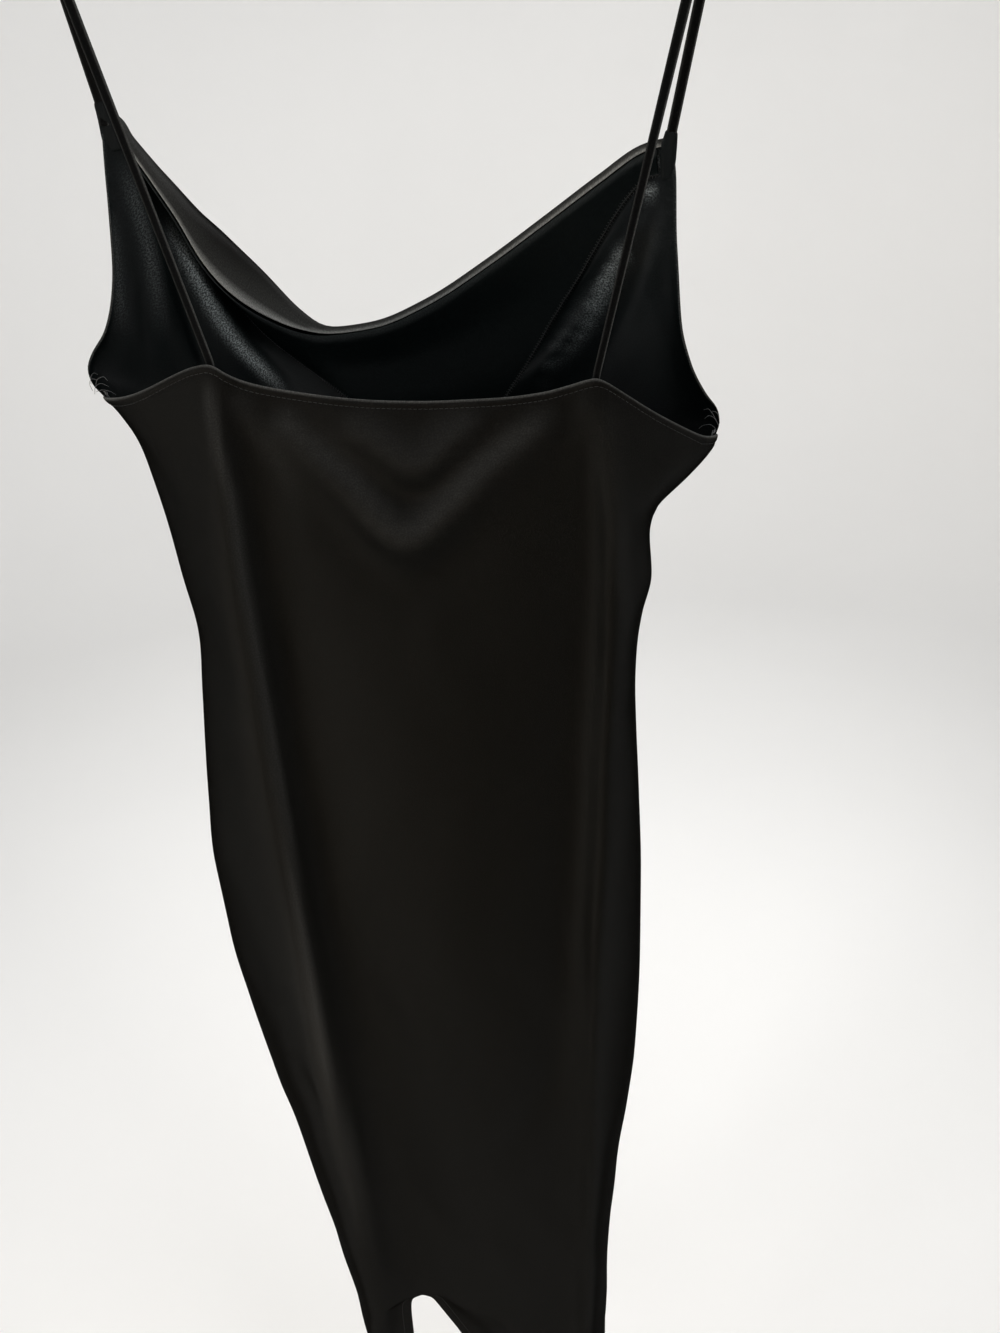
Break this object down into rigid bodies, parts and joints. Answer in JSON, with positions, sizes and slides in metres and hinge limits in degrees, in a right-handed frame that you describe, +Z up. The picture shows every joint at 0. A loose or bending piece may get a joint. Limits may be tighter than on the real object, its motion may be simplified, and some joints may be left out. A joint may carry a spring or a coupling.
{
  "type": "slip maxi dress on a hanger",
  "caption": "Long narrow slip dress with thin straps, a draped cowl neck in front, a low straight back and a short arched vent, hanging on a plain hanger.",
  "frame": {"origin": "inside top of the hanger's hook, where a rail holds it", "axes": "+Z up; +Y towards the cowl front of the dress; +X to the right of someone who looks at its back, so the wearer's right side"},
  "size_m": [0.4831, 0.1782, 1.494],
  "materials": {
    "satin_jersey": "black stretch jersey with a soft satin sheen",
    "satin_facing": "the same jersey, its inner side, slightly cooler in colour",
    "strap_satin": "turned jersey strap with a lengthwise groove",
    "hanger_plastic": "moulded, fine matt",
    "hook_steel": "bright plated wire"
  },
  "bodies": {
    "root": {"back_panel": "satin_jersey", "front_panel": "satin_jersey", "cowl_facing": "satin_facing", "strap_left": "strap_satin", "strap_right": "strap_satin", "hanger_bar": "hanger_plastic", "hanger_hook": "hook_steel"}
  },
  "joints": []
}
